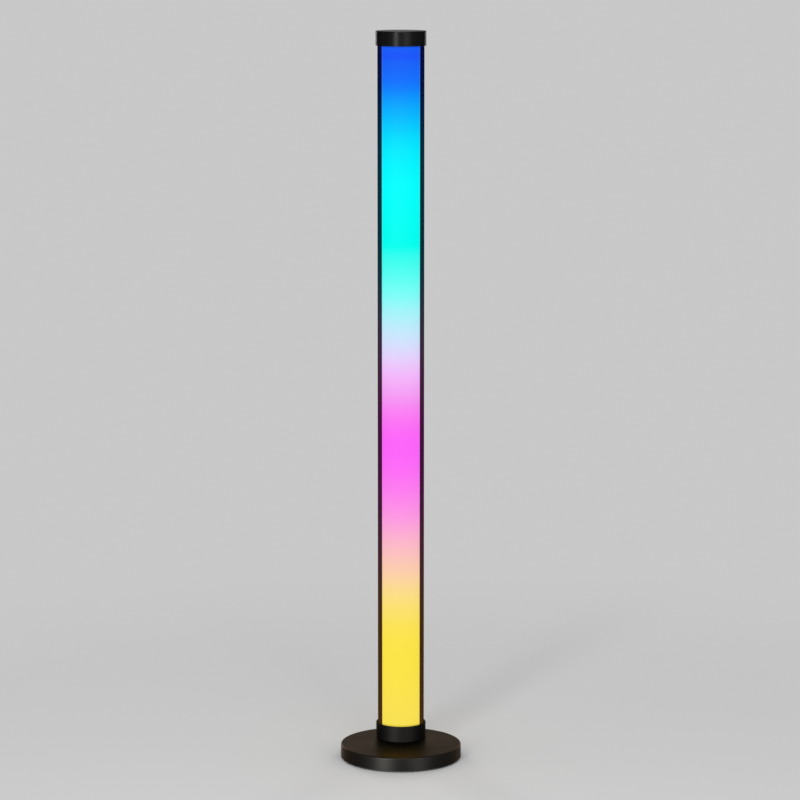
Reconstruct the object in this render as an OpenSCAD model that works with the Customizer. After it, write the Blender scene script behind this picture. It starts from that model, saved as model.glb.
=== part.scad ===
// Corner floor lamp: a tall lit tube with a front and a rear cover, on a round weighted base.
// Sizes are in millimetres and +Z is up. The origin is the centre of the base, on the floor.
// The front faces -Y. The wall, the power inlet and the push button are on the +Y side.

/* [Overall] */
// Height from the floor to the top of the cap
total_h = 1205; // [900:5:1600]
// How far the tube stands behind the centre of the base
tube_setback = 40; // [10:1:50]

/* [Base] */
// Diameter of the base shell
base_dia = 200; // [190:1:260]
// Height of the base shell, without the pad under it
base_shell_h = 22; // [20:0.5:40]
// Thickness of the base shell's steel
base_wall = 1.5; // [1:0.1:2.5]
// Radius of the rounded edge round the top of the base shell
base_fillet = 2.5; // [1.5:0.1:5]
// Thickness of the pad that stands on the floor
pad_h = 3; // [2:0.1:6]
// How far the pad's edge lies in from the edge of the base
pad_inset = 4; // [2.5:0.5:10]
// Gap between the base shell and the weight in it
weight_clear = 0.3; // [0.2:0.05:0.8]
// Thickness of the plate that closes the base shell from below
bottom_plate_t = 1.5; // [1.4:0.1:3]

/* [Base plate screws] */
// Number of screws that hold the bottom plate to the weight
plate_screw_count = 6; // [3:1:8]
// Thread diameter of a bottom plate screw
plate_screw_d = 3; // [2.5:0.1:3.5]
// Length of a bottom plate screw, with its flat head
plate_screw_l = 8; // [6:0.5:12]
// How far the bottom plate screws lie in from the edge of the base
plate_screw_inset = 13; // [10:0.5:16]

/* [Stem bolts] */
// Number of bolts that hold the tube on the base
stem_bolt_count = 3; // [3:3:3]
// Thread diameter of a stem bolt
stem_bolt_d = 6; // [5:0.5:6.5]
// Distance from the tube's axis to each stem bolt
stem_bolt_ring_r = 28; // [27.5:0.25:30]
// How far a stem bolt reaches into its pillar
stem_thread_l = 8; // [6:0.5:10]
// Depth of the pocket under the weight that holds a bolt's head
stem_pocket_h = 8; // [7.8:0.1:10]
// Diameter of the pillars that the stem bolts screw into
pillar_dia = 11; // [9.5:0.1:11.5]

/* [Collar] */
// Height of the collar at the foot of the tube
collar_h = 26.4; // [25.4:0.1:40]
// Thickness of the collar's side wall
collar_wall = 2.7; // [2.2:0.1:4]
// Thickness of the collar's floor
collar_floor_t = 2.5; // [2:0.1:3.5]
// Radius of the rounded edge round the top of the collar
collar_fillet = 1; // [0.4:0.1:1.5]
// How deep the tube stands in the collar
tube_seat = 7; // [4:0.5:8]

/* [Cap] */
// Height of the top cap
cap_h = 24; // [20:0.5:40]
// Thickness of the cap's side wall
cap_wall = 2.7; // [2:0.1:4]
// Thickness of the cap's roof
cap_roof_t = 3; // [2:0.1:5]
// Radius of the rounded edge round the top of the cap
cap_fillet = 1.2; // [0.4:0.1:2]
// Thickness of the foam ring between the cap and the upper end plate
seal_h = 3; // [2.8:0.1:4]
// Width of the foam ring
seal_w = 6; // [4:0.5:8]
// Distance from the cap's lower edge up to its grub screws
grub_rise = 8; // [6:0.5:9]
// Thread diameter of a grub screw
grub_d = 3; // [2.5:0.1:4]

/* [Tube] */
// Outer diameter of the tube
tube_dia = 77; // [76.5:0.5:84]
// Gap between the tube and the collar or cap round it
sleeve_clear = 0.3; // [0.1:0.05:0.6]
// Half of the angle that a side rail takes of the tube's round
rail_half_angle = 35.4; // [32:0.2:42]
// Thickness of the side rails
rail_t = 2; // [1.6:0.1:2.4]
// Thickness of the web between the two rails
web_t = 2.4; // [1.6:0.1:4]
// Thickness of the lips that hold the covers' tongues
lip_t = 1.6; // [1:0.1:2.2]
// Distance from the middle of the web to each screw port
port_x = 24; // [19:0.5:25]
// Outer diameter of a screw port
port_dia = 7.6; // [6.5:0.1:9]

/* [Covers] */
// Thickness of the front and rear covers
cover_t = 2; // [1.4:0.1:2.6]
// Thickness of the tongue along each edge of a cover
tongue_t = 1.6; // [1:0.1:2]
// How far a tongue reaches under its rail
tongue_l = 6; // [4:0.5:8]
// Width of the thick band along each edge of a cover
cover_band_w = 3; // [2:0.5:5]
// Gap between a tongue and the slot that it sits in
tongue_clear = 0.2; // [0.1:0.05:0.3]
// Gap between a cover's edge and the rail beside it
cover_gap = 0.2; // [0.1:0.05:0.4]
// Room above the covers for their growth when they are warm
cover_growth = 0.6; // [0.3:0.1:0.9]

/* [End plates] */
// Thickness of the plates at the two ends of the tube
end_plate_t = 3; // [2:0.1:3.5]
// How far an end plate's edge lies in from the tube's outer face
end_plate_inset = 0.3; // [0.1:0.1:1]
// Thread diameter of an end plate screw
end_screw_d = 4; // [3:0.1:4.5]
// How far an end plate screw reaches into the tube
end_screw_l = 12; // [8:1:25]
// Height of an end plate screw's head
end_head_h = 2.4; // [1.8:0.1:2.7]
// Diameter of an end plate screw's head
end_head_dia = 7; // [6:0.1:8]

/* [Light tapes] */
// Width of a light tape
tape_w = 12; // [8:1:16]
// Thickness of a light tape
tape_t = 0.4; // [0.2:0.05:0.8]
// Gap between the ends of the tube and of a light tape
tape_end_gap = 2; // [1:0.5:6]
// Width and height of one light source
led_w = 5; // [2.8:0.1:5.6]
// How far a light source stands out of its tape
led_t = 1.6; // [0.8:0.1:2.5]
// Distance from one light source to the next
led_pitch = 16.7; // [10:0.1:60]
// Length of tape that a lead is soldered on
lead_land = 6; // [4:0.5:10]

/* [Leads] */
// Width of a light tape's lead
lead_w = 6.6; // [4:0.1:8]
// Thickness of a light tape's lead
lead_t = 1.2; // [0.8:0.1:1.6]
// Distance from the middle of the tube to each lead's foot
lead_y = 3.6; // [3.2:0.1:3.8]
// Width of the plug that a lead ends in
plug_w = 9; // [8.5:0.1:11]
// Depth of the plug that a lead ends in
plug_d = 4.4; // [3.5:0.1:5.5]
// Height of the plug that a lead ends in
plug_h = 6; // [4:0.5:7.5]
// Width of the window that the leads pass through
window_w = 14; // [11:0.5:16]
// Depth of the window that the leads pass through
window_d = 13; // [11:0.5:14]

/* [Control board] */
// Width of the control board
board_w = 30; // [29:0.5:31]
// Length of the control board in front of the middle of the tube
board_front = 8; // [7.5:0.1:9]
// Thickness of the control board
board_t = 1.6; // [1:0.1:2]
// Gap between the control board and the collar's floor
board_rise = 1.5; // [1:0.1:2]
// Gap between the control board's rear edge and the collar's inner face
board_gap = 1; // [0.8:0.1:2]
// Thread diameter of a board screw
board_screw_d = 2.5; // [2:0.1:3]
// Length of a board screw below its head
board_screw_l = 4.5; // [4:0.1:4.8]
// Diameter of a board screw's head
board_head_dia = 4.4; // [3.8:0.1:4.8]
// Height of a board screw's head
board_head_h = 1.4; // [1:0.1:2]
// How far the front board screws lie in from the board's edges
board_screw_inset = 3; // [2.5:0.1:3.5]
// How far the rear board screw lies in from the board's rear edge
rear_screw_inset = 4; // [3:0.1:6]

/* [Rear panel] */
// Depth of the flat that is cut into the back of the collar
panel_cut = 1.9; // [1.7:0.1:2]
// Height of the flat at the back of the collar
panel_h = 14; // [13:0.5:15]
// Thickness of the collar's wall behind the flat
panel_wall = 3.6; // [3.2:0.1:4]
// Height of the inlet and the button above the control board
panel_axis_rise = 5.3; // [5.1:0.1:5.5]
// Distance from the middle of the panel to the inlet
jack_x = 7.2; // [7:0.1:7.4]
// Distance from the middle of the panel to the button
button_x = 7.2; // [7:0.1:7.4]

/* [Power inlet] */
// Diameter of the hole that the plug passes through
inlet_hole_dia = 8.4; // [7.5:0.1:8.6]
// Width of the power jack
jack_w = 9; // [8:0.1:9.4]
// Length of the power jack
jack_l = 14; // [12:0.5:16]
// Height of the power jack
jack_h = 9.6; // [9.1:0.1:10]
// Diameter of the power jack's bore
jack_bore_dia = 6.4; // [5.6:0.1:6.8]
// Depth of the power jack's bore
jack_bore_l = 10; // [8:0.5:11]
// Diameter of the power jack's centre pin
jack_pin_dia = 2.1; // [1.3:0.1:2.6]
// How far the centre pin stays behind the jack's face
jack_pin_back = 1; // [0.5:0.1:2]
// Thickness of the solder tab behind the jack
jack_tab_t = 0.5; // [0.3:0.1:0.8]
// Width of the solder tab behind the jack
jack_tab_w = 4; // [3:0.5:6]
// Gap between the jack's face and the collar's inner face
jack_gap = 0.2; // [0.1:0.05:0.5]

/* [Push button] */
// Diameter of the push button
button_dia = 8; // [7:0.1:8.2]
// Gap round the push button
button_clear = 0.2; // [0.1:0.05:0.3]
// How far the push button stands out of the flat
button_proud = 1.2; // [0.8:0.1:1.6]
// Radius of the rounded edge of the push button
button_fillet = 0.5; // [0.2:0.1:0.7]
// Width of the push button's inner flange
button_flange_w = 1.2; // [0.8:0.1:1.3]
// Thickness of the push button's inner flange
button_flange_t = 1; // [0.6:0.1:1.2]
// Gap between the flange and the collar's inner face
button_flange_gap = 0.1; // [0.05:0.05:0.3]
// How far the push button travels
button_travel = 0.5; // [0.3:0.1:0.6]
// Width of the button's switch
switch_w = 7; // [6:0.1:7.2]
// Depth of the button's switch
switch_l = 5; // [4:0.1:6]
// Height of the button's switch
switch_h = 8; // [7.5:0.1:9]
// Diameter of the switch's plunger
plunger_dia = 3.4; // [2:0.1:4]
// Gap between the switch and the button's flange
plunger_reach = 2.3; // [1.5:0.1:2.5]
// Gap round and behind the plunger
plunger_clear = 0.2; // [0.1:0.05:0.3]

/* [Board parts] */
// Width of the control chip
chip_w = 8; // [5:0.5:9]
// Length of the control chip
chip_l = 6; // [4:0.5:7]
// Height of the chips
chip_h = 1.7; // [1:0.1:2.5]
// Width of each driver chip
driver_w = 4; // [3:0.1:4.4]
// Length of each driver chip
driver_l = 5; // [4:0.1:5.5]
// Diameter of the capacitor
capacitor_dia = 6.3; // [5:0.1:7]
// Height of the capacitor
capacitor_h = 7.6; // [5:0.1:9]

/* [Hidden] */
$fn = 96;

// A cut runs this far past the faces it opens, and joined shapes overlap by it.
over = 0.5;
// Clearance round a thread in its tapped hole, on the diameter.
thread_clear = 0.1;
// Clearance round a screw in a plain hole, on the diameter.
hole_clear = 0.6;
// A blind hole is this much deeper than what goes in it.
blind_spare = 0.8;
// Proportions of a flat screw head, a washer and a socket head to their thread's diameter.
flat_head_ratio = 0.45;
washer_t_ratio = 0.26;
washer_dia_ratio = 2;
socket_dia_ratio = 1.6;
key_ratio = 0.9;
grub_key_ratio = 0.58;
// Width of a cross recess to its thread's diameter, and rounding of a round head to its height.
recess_ratio = 0.22;
head_round_ratio = 0.45;
// Room round a washer in its pocket, and round a screw's head on its post, on the diameter.
pocket_room = 2;
post_room = 0.8;
// Depth of the plunger's guide in the switch, beyond its travel.
plunger_guide = 1;
// Gap between two chips.
chip_gap = 1;
// How deep a grub screw sits in the cap, and its gap to the rail that it bears on.
grub_back = 0.3;
grub_tip_gap = 0.05;

// Heights of the base, from the floor up.
base_r = base_dia / 2;
plate_z = pad_h;
weight_z = plate_z + bottom_plate_t;
base_top = pad_h + base_shell_h;
weight_h = base_top - base_wall - weight_z;
shell_inner_fillet = max(base_fillet - base_wall, weight_clear);
pad_r = base_r - pad_inset;
plate_r = base_r - base_wall - weight_clear;
plate_screw_ring_r = base_r - plate_screw_inset;
plate_head_h = plate_screw_d * flat_head_ratio;
plate_head_r = plate_screw_d / 2 + plate_head_h;
weight_chamfer = shell_inner_fillet + weight_clear;

// Heights of the collar and the tube in it.
collar_top = base_top + collar_h;
collar_floor_top = base_top + collar_floor_t;
tube_z0 = collar_top - tube_seat;
plate_under = tube_z0 - end_plate_t;
chamber_h = plate_under - collar_floor_top;

// Heights of the tube's top end and the cap.
cap_inside_z = total_h - cap_roof_t;
seal_z = cap_inside_z - seal_h;
tube_z1 = seal_z - end_plate_t;
tube_l = tube_z1 - tube_z0;
cap_z = total_h - cap_h;

// Radii of the tube, the collar and the cap.
tube_r = tube_dia / 2;
sleeve_r = tube_r + sleeve_clear;
collar_r = sleeve_r + collar_wall;
cap_r = sleeve_r + cap_wall;
end_plate_r = tube_r - end_plate_inset;

// The stem bolts: a washer and a socket head in the weight's pocket.
stem_hole_dia = stem_bolt_d + hole_clear;
washer_t = stem_bolt_d * washer_t_ratio;
washer_dia = stem_bolt_d * washer_dia_ratio;
stem_head_dia = stem_bolt_d * socket_dia_ratio;
stem_head_h = stem_bolt_d;
stem_key_dia = stem_bolt_d * key_ratio;
stem_key_depth = stem_head_h / 2;
pocket_dia = washer_dia + pocket_room;
pocket_top = weight_z + stem_pocket_h;
stem_seat_z = pocket_top - washer_t;
stem_tip_z = collar_floor_top + stem_thread_l;
first_bolt_angle = -90;

// The tube's section: rings round the tube's axis, from the outside in.
rail_in_r = tube_r - rail_t;
tongue_out_r = rail_in_r - tongue_clear;
tongue_in_r = tongue_out_r - tongue_t;
lip_out_r = tongue_in_r - tongue_clear;
lip_in_r = lip_out_r - lip_t;
tongue_angle = arc_angle(tongue_l, tongue_out_r);
gap_angle = arc_angle(cover_gap, tube_r);
band_angle = arc_angle(cover_band_w, tube_r);
slot_end_angle = rail_half_angle - tongue_angle - arc_angle(tongue_clear, tongue_out_r);
lip_wall_angle = arc_angle(lip_t, lip_out_r);
cover_edge_angle = rail_half_angle + gap_angle;
port_bore_dia = end_screw_d + thread_clear;
end_hole_dia = end_screw_d + hole_clear;

// The light tapes lie on the web, and each lead is soldered to the lower end of its tape.
tape_z = tube_z0 + tape_end_gap;
tape_l = tube_l - 2 * tape_end_gap;
tape_face = web_t / 2 + tape_t;
led_first_z = tape_z + lead_land + led_w;
led_count = floor((tape_z + tape_l - led_w - led_first_z) / led_pitch) + 1;

// The control board stands on three posts of the collar's floor.
panel_face = collar_r - panel_cut;
panel_in = panel_face - panel_wall;
board_z = collar_floor_top + board_rise;
board_top = board_z + board_t;
board_rear = panel_in - board_gap;
board_l = board_rear + board_front;
panel_axis_z = board_top + panel_axis_rise;
jack_face = panel_in - jack_gap;
jack_back = jack_face - jack_l;
jack_bore_end = jack_face - jack_bore_l;
button_flange_back = panel_in - button_flange_gap - button_flange_t;
switch_face = button_flange_back - plunger_reach;
plunger_depth = button_travel + plunger_guide;
post_dia = board_head_dia + post_room;
front_screw_x = board_w / 2 - board_screw_inset;
front_screw_y = board_screw_inset - board_front;
rear_screw_x = ((jack_x - jack_w / 2) - (button_x - switch_w / 2)) / 2;
rear_screw_y = board_rear - rear_screw_inset;
board_screw_places = [
    [-front_screw_x, front_screw_y],
    [front_screw_x, front_screw_y],
    [rear_screw_x, rear_screw_y],
];
plug_top = board_top + plug_h;
parts_y = board_front + chip_l;

// The grub screws of the cap, with a hexagon key hole.
grub_z = cap_z + grub_rise;
grub_key_dia = grub_d * grub_key_ratio;
grub_key_depth = cap_wall / 2;

// Angle that an arc of this length takes at this radius.
function arc_angle(length, radius) = length / radius * 180 / PI;

// ---------- shapes that several pieces share ----------

// Moves a piece from the middle of the base to the tube's axis.
module at_tube() {
    translate([0, tube_setback, 0])
        children();
}

// Half section of a round lid with a rounded upper edge.
module lid_profile(radius, height, fillet) {
    square([radius - fillet, height]);
    square([radius, height - fillet]);
    translate([radius - fillet, height - fillet])
        circle(fillet);
}

// Right-hand half of a lid's section, turned into a round body.
module round_lid(radius, height, fillet) {
    rotate_extrude()
        intersection() {
            lid_profile(radius, height, fillet);
            square([radius, height]);
        }
}

// Piece of a ring between two angles, less than half a turn apart.
module ring_sector(outer, inner, from_angle, to_angle) {
    middle = (from_angle + to_angle) / 2;
    far = 2 * outer;
    intersection() {
        difference() {
            circle(outer);
            circle(inner);
        }
        polygon([
            [0, 0],
            far * [cos(from_angle), sin(from_angle)],
            far * [cos(middle), sin(middle)],
            far * [cos(to_angle), sin(to_angle)],
        ]);
    }
}

// Places a piece at each stem bolt, round the tube's axis.
module at_stem_bolts() {
    at_tube()
        for (i = [0 : stem_bolt_count - 1])
            rotate(first_bolt_angle + i * 360 / stem_bolt_count)
                translate([stem_bolt_ring_r, 0, 0])
                    children();
}

// Places a piece at each bottom plate screw.
module at_plate_screws() {
    for (i = [0 : plate_screw_count - 1])
        rotate((i + 0.5) * 360 / plate_screw_count)
            translate([plate_screw_ring_r, 0, 0])
                children();
}

// Places a piece at each of the tube's two screw ports.
module at_ports() {
    for (side = [-1, 1])
        translate([side * port_x, 0, 0])
            children();
}

// Places a piece at each board screw.
module at_board_screws() {
    for (place = board_screw_places)
        translate([place[0], place[1], 0])
            children();
}

// Turns a piece that is drawn upwards so that it points to the back, at a place on the panel.
module on_panel(x, y) {
    translate([x, y, panel_axis_z])
        rotate([-90, 0, 0])
            children();
}

// Upright cylinder by its lower end and height.
module post(z, height, diameter) {
    translate([0, 0, z])
        cylinder(h = height, d = diameter);
}

// Screw with a round head and a cross recess, head up, seated at height 0.
module round_head_screw(thread, reach, head_dia, head_h) {
    recess_w = thread * recess_ratio;
    difference() {
        union() {
            translate([0, 0, -reach])
                cylinder(h = reach + head_h / 2, d = thread);
            round_lid(head_dia / 2, head_h, head_h * head_round_ratio);
        }
        for (turn = [0, 90])
            rotate(turn)
                translate([-thread / 2, -recess_w / 2, head_h / 2])
                    cube([thread, recess_w, head_h]);
    }
}

// ---------- the base ----------

module base_shell() {
    color("#161616")
        difference() {
            translate([0, 0, pad_h])
                round_lid(base_r, base_shell_h, base_fillet);
            translate([0, 0, pad_h - over])
                round_lid(base_r - base_wall, base_shell_h - base_wall + over, shell_inner_fillet);
            at_stem_bolts()
                post(base_top - base_wall - over, base_wall + 2 * over, stem_hole_dia);
        }
}

module base_weight() {
    color("#4a4a4c")
        difference() {
            union() {
                post(weight_z, weight_h - weight_chamfer, 2 * plate_r);
                translate([0, 0, weight_z + weight_h - weight_chamfer])
                    cylinder(h = weight_chamfer, r1 = plate_r, r2 = plate_r - weight_chamfer);
            }
            at_stem_bolts() {
                post(weight_z - over, stem_pocket_h + over, pocket_dia);
                post(weight_z, weight_h + over, stem_hole_dia);
            }
            at_plate_screws()
                post(weight_z - over, plate_screw_l - bottom_plate_t + blind_spare + over,
                    plate_screw_d + thread_clear);
        }
}

module base_bottom_plate() {
    color("#8a8c8e")
        difference() {
            post(plate_z, bottom_plate_t, 2 * plate_r);
            at_stem_bolts()
                post(plate_z - over, bottom_plate_t + 2 * over, pocket_dia);
            at_plate_screws()
                post(plate_z - over, bottom_plate_t + 2 * over, plate_screw_d + thread_clear);
            at_plate_screws()
                translate([0, 0, plate_z])
                    cylinder(h = plate_head_h, r1 = plate_head_r, r2 = plate_screw_d / 2);
        }
}

module base_plate_screws() {
    key_w = plate_screw_d * recess_ratio;
    key_depth = plate_head_h / 2;
    color("#b9bbbd")
        at_plate_screws()
            difference() {
                union() {
                    translate([0, 0, plate_z])
                        cylinder(h = plate_head_h, r1 = plate_head_r, r2 = plate_screw_d / 2);
                    post(plate_z, plate_screw_l, plate_screw_d);
                }
                for (turn = [0, 90])
                    rotate(turn)
                        translate([-plate_screw_d / 2, -key_w / 2, plate_z - over])
                            cube([plate_screw_d, key_w, key_depth + over]);
            }
}

module base_pad() {
    color("#101010")
        difference() {
            post(0, pad_h, 2 * pad_r);
            at_stem_bolts()
                post(-over, pad_h + 2 * over, pocket_dia);
        }
}

module stem_bolts() {
    color("#2b2b2d")
        at_stem_bolts()
            difference() {
                union() {
                    post(stem_seat_z - stem_head_h, stem_head_h, stem_head_dia);
                    post(stem_seat_z - over, stem_tip_z - stem_seat_z + over, stem_bolt_d);
                }
                translate([0, 0, stem_seat_z - stem_head_h - over])
                    cylinder(h = stem_key_depth + over, d = stem_key_dia, $fn = 6);
            }
}

module stem_washers() {
    color("#b9bbbd")
        at_stem_bolts()
            difference() {
                post(stem_seat_z, washer_t, washer_dia);
                post(stem_seat_z - over, washer_t + 2 * over, stem_hole_dia);
            }
}

// ---------- the collar at the foot of the tube ----------

// The collar's inside: round, with a flat thickened wall behind the panel below the end plate.
module collar_hollow() {
    panel_top = plate_under - sleeve_clear;
    post(panel_top, collar_top - panel_top + over, 2 * sleeve_r);
    intersection() {
        post(collar_floor_top, panel_top - collar_floor_top + over, 2 * sleeve_r);
        translate([-sleeve_r, -sleeve_r, collar_floor_top])
            cube([2 * sleeve_r, sleeve_r + panel_in, collar_h]);
    }
}

module lower_collar() {
    color("#121212")
        at_tube()
            difference() {
                union() {
                    difference() {
                        translate([0, 0, base_top])
                            round_lid(collar_r, collar_h, collar_fillet);
                        collar_hollow();
                        translate([-collar_r, panel_face, panel_axis_z - panel_h / 2])
                            cube([2 * collar_r, collar_r, panel_h]);
                    }
                    at_board_screws()
                        post(collar_floor_top - over, board_rise + over, post_dia);
                }
                translate([0, -tube_setback, 0])
                    at_stem_bolts()
                        post(base_top - over, collar_floor_t + 2 * over, stem_hole_dia);
                at_board_screws()
                    post(board_top - board_screw_l - blind_spare / 2, board_screw_l + over,
                        board_screw_d + thread_clear);
                on_panel(jack_x, panel_in - over)
                    cylinder(h = panel_wall + 2 * over, d = inlet_hole_dia);
                on_panel(-button_x, panel_in - over)
                    cylinder(h = panel_wall + 2 * over, d = button_dia + 2 * button_clear);
            }
}

module lower_end_plate() {
    bore_l = stem_thread_l + blind_spare;
    color("#9a9c9f")
        difference() {
            union() {
                at_tube()
                    post(plate_under, end_plate_t, 2 * end_plate_r);
                at_stem_bolts()
                    post(collar_floor_top, chamber_h + over, pillar_dia);
            }
            at_stem_bolts()
                post(collar_floor_top - over, bore_l + over, stem_bolt_d + thread_clear);
            at_tube()
                at_ports()
                    post(plate_under - over, end_plate_t + 2 * over, end_hole_dia);
            at_tube()
                translate([-window_w / 2, -window_d / 2, plate_under - over])
                    cube([window_w, window_d, end_plate_t + 2 * over]);
        }
}

module lower_end_screws() {
    color("#b9bbbd")
        at_tube()
            at_ports()
                translate([0, 0, plate_under])
                    rotate([180, 0, 0])
                        round_head_screw(end_screw_d, end_plate_t + end_screw_l,
                            end_head_dia, end_head_h);
}

// ---------- the tube ----------

// One side rail: a thick arc, with a slot under each edge for a cover's tongue.
module rail_section() {
    hollow_angle = slot_end_angle - lip_wall_angle;
    difference() {
        ring_sector(tube_r, lip_in_r, -rail_half_angle, rail_half_angle);
        ring_sector(rail_in_r, lip_in_r - over, -hollow_angle, hollow_angle);
        for (edge = [0, 1])
            mirror([0, edge, 0])
                ring_sector(rail_in_r, lip_out_r, slot_end_angle, rail_half_angle + band_angle);
    }
}

module spine() {
    web_w = 2 * (rail_in_r + over);
    color("#1a1a1b")
        at_tube()
            translate([0, 0, tube_z0])
                linear_extrude(tube_l)
                    difference() {
                        union() {
                            for (side = [0, 1])
                                mirror([side, 0, 0])
                                    rail_section();
                            square([web_w, web_t], center = true);
                            at_ports()
                                circle(d = port_dia);
                        }
                        at_ports()
                            circle(d = port_bore_dia);
                    }
}

// Section of the front cover: a round shell with a thick band and a tongue along each edge.
module cover_section() {
    ring_sector(tube_r, tube_r - cover_t, cover_edge_angle - 180, -cover_edge_angle);
    for (edge = [0, 1])
        mirror([edge, 0, 0]) {
            ring_sector(tube_r, tongue_in_r, -cover_edge_angle - band_angle, -cover_edge_angle);
            ring_sector(tongue_out_r, tongue_in_r, -cover_edge_angle - band_angle,
                tongue_angle - rail_half_angle);
        }
}

module front_diffuser() {
    color("#f4f1ea")
        at_tube()
            translate([0, 0, tube_z0])
                linear_extrude(tube_l - cover_growth)
                    cover_section();
}

module rear_diffuser() {
    color("#f4f1ea")
        at_tube()
            translate([0, 0, tube_z0])
                linear_extrude(tube_l - cover_growth)
                    mirror([0, 1, 0])
                        cover_section();
}

// ---------- the lights ----------

// A light tape on the rear face of the web.
module led_tape() {
    translate([-tape_w / 2, web_t / 2, tape_z])
        cube([tape_w, tape_t, tape_l]);
}

// The light sources on the rear tape, in a row.
module leds() {
    for (i = [0 : led_count - 1])
        translate([-led_w / 2, tape_face, led_first_z + i * led_pitch])
            cube([led_w, led_t, led_w]);
}

// The lead of the rear tape: up from its plug through the window, and onto the tape.
module led_lead() {
    foot = lead_y - lead_t / 2;
    rotate([90, 0, 90])
        translate([0, 0, -lead_w / 2])
            linear_extrude(lead_w)
                polygon([
                    [foot, plug_top],
                    [foot + lead_t, plug_top],
                    [foot + lead_t, tube_z0],
                    [tape_face + lead_t, tape_z],
                    [tape_face + lead_t, tape_z + lead_land],
                    [tape_face, tape_z + lead_land],
                    [tape_face, tape_z],
                    [foot, tube_z0],
                ]);
}

// Puts a copy of a rear piece at the front of the web.
module to_front() {
    mirror([0, 1, 0])
        children();
}

module front_led_tape() {
    color("#e9e9e4")
        at_tube()
            to_front()
                led_tape();
}

module rear_led_tape() {
    color("#e9e9e4")
        at_tube()
            led_tape();
}

module front_leds() {
    color("#f2e9b0")
        at_tube()
            to_front()
                leds();
}

module rear_leds() {
    color("#f2e9b0")
        at_tube()
            leds();
}

module front_lead() {
    color("#d8d8d8")
        at_tube()
            to_front()
                led_lead();
}

module rear_lead() {
    color("#d8d8d8")
        at_tube()
            led_lead();
}

module lead_plugs() {
    color("#efeee6")
        at_tube()
            for (side = [-1, 1])
                translate([-plug_w / 2, side * lead_y - plug_d / 2, board_top])
                    cube([plug_w, plug_d, plug_h]);
}

// ---------- the control board and what stands on it ----------

module control_board() {
    color("#1f6b3a")
        at_tube()
            difference() {
                translate([-board_w / 2, -board_front, board_z])
                    cube([board_w, board_l, board_t]);
                at_board_screws()
                    post(board_z - over, board_t + 2 * over, board_screw_d + hole_clear / 2);
            }
}

module board_parts() {
    chip_x = board_w / 4;
    driver_step = driver_l + chip_gap;
    color("#202022")
        at_tube() {
            translate([-chip_x - chip_w / 2, parts_y - chip_l / 2, board_top])
                cube([chip_w, chip_l, chip_h]);
            for (i = [0, 1])
                translate([-driver_w / 2, parts_y - driver_l / 2 + i * driver_step, board_top])
                    cube([driver_w, driver_l, chip_h]);
            translate([chip_x, parts_y - chip_l / 2, 0])
                post(board_top, capacitor_h, capacitor_dia);
        }
}

module board_screws() {
    color("#b9bbbd")
        at_tube()
            at_board_screws()
                translate([0, 0, board_top])
                    round_head_screw(board_screw_d, board_screw_l, board_head_dia, board_head_h);
}

module dc_jack() {
    color("#18181a")
        at_tube()
            difference() {
                translate([jack_x - jack_w / 2, jack_back, board_top])
                    cube([jack_w, jack_l, jack_h]);
                on_panel(jack_x, jack_bore_end)
                    cylinder(h = jack_bore_l + over, d = jack_bore_dia);
                on_panel(jack_x, jack_back - over)
                    cylinder(h = jack_l, d = jack_pin_dia);
            }
}

module dc_jack_contact() {
    pin_l = jack_l - jack_pin_back + jack_tab_t;
    color("#c9b26a")
        at_tube() {
            on_panel(jack_x, jack_back - jack_tab_t)
                cylinder(h = pin_l, d = jack_pin_dia);
            translate([jack_x - jack_tab_w / 2, jack_back - jack_tab_t, board_top])
                cube([jack_tab_w, jack_tab_t, panel_axis_rise + jack_pin_dia]);
        }
}

module button_switch() {
    color("#242426")
        at_tube()
            difference() {
                translate([-button_x - switch_w / 2, switch_face - switch_l, board_top])
                    cube([switch_w, switch_l, switch_h]);
                on_panel(-button_x, switch_face - plunger_depth - plunger_clear)
                    cylinder(h = plunger_depth + plunger_clear + over,
                        d = plunger_dia + 2 * plunger_clear);
            }
}

module switch_plunger() {
    plunger_back = switch_face - plunger_depth + button_travel;
    color("#c8c8c8")
        at_tube()
            on_panel(-button_x, plunger_back)
                cylinder(h = button_flange_back - plunger_back, d = plunger_dia);
}

module push_button() {
    button_l = panel_face + button_proud - button_flange_back;
    color("#0c0c0c")
        at_tube()
            on_panel(-button_x, button_flange_back) {
                cylinder(h = button_flange_t, r = button_dia / 2 + button_flange_w);
                round_lid(button_dia / 2, button_l, button_fillet);
            }
}

// ---------- the top of the tube ----------

module upper_end_plate() {
    color("#9a9c9f")
        at_tube()
            difference() {
                post(tube_z1, end_plate_t, 2 * end_plate_r);
                at_ports()
                    post(tube_z1 - over, end_plate_t + 2 * over, end_hole_dia);
            }
}

module upper_end_screws() {
    color("#b9bbbd")
        at_tube()
            at_ports()
                translate([0, 0, seal_z])
                    round_head_screw(end_screw_d, end_plate_t + end_screw_l,
                        end_head_dia, end_head_h);
}

module cap_seal() {
    color("#303033")
        at_tube()
            difference() {
                post(seal_z, seal_h, 2 * end_plate_r);
                post(seal_z - over, seal_h + 2 * over, 2 * (end_plate_r - seal_w));
            }
}

module top_cap() {
    grub_hole_l = cap_wall + 2 * over;
    color("#121212")
        at_tube()
            difference() {
                translate([0, 0, cap_z])
                    round_lid(cap_r, cap_h, cap_fillet);
                post(cap_z - over, cap_inside_z - cap_z + over, 2 * sleeve_r);
                for (side = [0, 180])
                    rotate(side)
                        translate([sleeve_r - over, 0, grub_z])
                            rotate([0, 90, 0])
                                cylinder(h = grub_hole_l, d = grub_d + thread_clear);
            }
}

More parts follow.
